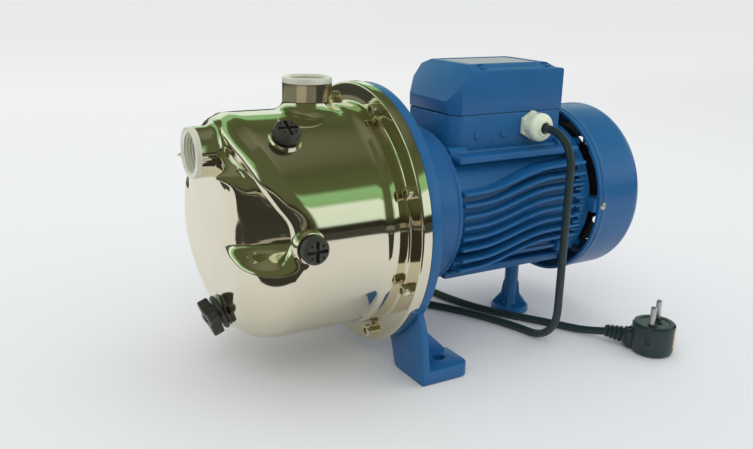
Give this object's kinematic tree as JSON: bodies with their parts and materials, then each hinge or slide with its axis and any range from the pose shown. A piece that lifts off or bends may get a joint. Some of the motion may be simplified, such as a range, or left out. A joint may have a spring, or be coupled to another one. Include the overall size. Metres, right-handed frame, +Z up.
{
  "type": "shallow well jet pump",
  "caption": "Self-priming shallow well jet pump: stainless casing with ejector, cast bracket, finned fan-cooled motor, terminal box and mains lead.",
  "frame": {"origin": "on the ground midway between the two bolt holes of the bracket feet", "axes": "+X along the shaft from the suction port towards the fan, +Z up along the discharge port, -Y the side of the cable gland"},
  "size_m": [0.4023, 0.3387, 0.2442],
  "materials": {
    "stainless": "polished stainless sheet",
    "steel": "plain steel",
    "blue_paint": "satin enamel over cast aluminium",
    "black_plastic": "moulded",
    "rubber": "matte",
    "brass": "machined",
    "engineering_plastic": "moulded",
    "gland_plastic": "moulded",
    "cord_sheath": "smooth sheath",
    "aluminium": "cast",
    "copper": "enamelled winding wire",
    "ceramic": "lapped",
    "label": "blank plate",
    "lamination": "stacked steel sheet"
  },
  "bodies": {
    "pump": {"pump_casing": "stainless", "suction_port": "stainless", "discharge_port": "stainless", "flange_screws": "brass", "casing_gasket": "rubber", "pump_bracket": "blue_paint", "suction_duct": "engineering_plastic", "ejector_body": "engineering_plastic", "nozzle": "engineering_plastic", "venturi_tube": "engineering_plastic", "diffuser": "engineering_plastic", "seal_seat": "ceramic", "bearing_outer_rings": "steel", "bearing_balls": "steel", "stator_core": "lamination", "windings": "copper", "motor_housing": "blue_paint", "rear_shield": "blue_paint", "wave_washer": "steel", "tie_bolts": "steel", "fan_cover": "blue_paint", "fan_cover_screws": "steel", "motor_foot": "blue_paint", "foot_screw": "steel", "terminal_box": "blue_paint", "box_gasket": "rubber", "box_lid": "blue_paint", "lid_screws": "steel", "label_plate": "label", "terminal_block": "ceramic", "capacitor": "aluminium", "capacitor_clamp": "steel", "gland_body": "gland_plastic", "gland_seal": "rubber", "gland_nut": "gland_plastic", "cord_lead": "cord_sheath", "cord_coil": "cord_sheath", "cord_tail": "cord_sheath", "coil_tie": "black_plastic", "plug_body": "cord_sheath", "plug_relief": "cord_sheath", "plug_pins": "steel", "plug_earth": "brass"},
    "rotor": {"shaft": "steel", "impeller": "brass", "impeller_nut": "brass", "seal_rotary": "rubber", "seal_spring": "steel", "slinger": "rubber", "bearing_inner_rings": "steel", "rotor_core": "lamination", "fan": "black_plastic", "fan_clip": "steel"},
    "filler_ring": {"filler_seal": "rubber"},
    "filler_cap": {"filler_plug": "black_plastic"},
    "side_ring": {"side_seal": "rubber"},
    "side_cap": {"side_plug": "black_plastic"},
    "drain_ring": {"drain_gasket": "rubber"},
    "drain_cap": {"drain_plug": "black_plastic"}
  },
  "joints": [
    {"name": "rotor_spin", "type": "hinge", "parent": "pump", "child": "rotor", "pos_m": [0, 0, 0.121], "axis": [1, 0, 0], "continuous": true},
    {"name": "filler_plug_lift", "type": "slide", "parent": "pump", "child": "filler_ring", "axis": [0, -0.5299, 0.848], "range_m": [0, 0.012]},
    {"name": "filler_plug_turn", "type": "hinge", "parent": "filler_ring", "child": "filler_cap", "pos_m": [-0.1215, 0, 0.121], "axis": [0, -0.5299, 0.848], "range_deg": [0, 2890]},
    {"name": "side_plug_lift", "type": "slide", "parent": "pump", "child": "side_ring", "axis": [0, -1, 0], "range_m": [0, 0.012]},
    {"name": "side_plug_turn", "type": "hinge", "parent": "side_ring", "child": "side_cap", "pos_m": [-0.1215, 0, 0.128], "axis": [0, -1, 0], "range_deg": [0, 2890]},
    {"name": "drain_plug_lift", "type": "slide", "parent": "pump", "child": "drain_ring", "axis": [-0.9272, 0, -0.3746], "range_m": [0, 0.012]},
    {"name": "drain_plug_turn", "type": "hinge", "parent": "drain_ring", "child": "drain_cap", "pos_m": [-0.124, 0, 0.0665], "axis": [-0.9272, 0, -0.3746], "range_deg": [0, 2890]}
  ],
  "couplings": [
    {"joint": "filler_plug_turn", "follows": "filler_plug_lift", "rad_per_m": 4188.8},
    {"joint": "side_plug_turn", "follows": "side_plug_lift", "rad_per_m": 4188.8},
    {"joint": "drain_plug_turn", "follows": "drain_plug_lift", "rad_per_m": 4188.8}
  ]
}
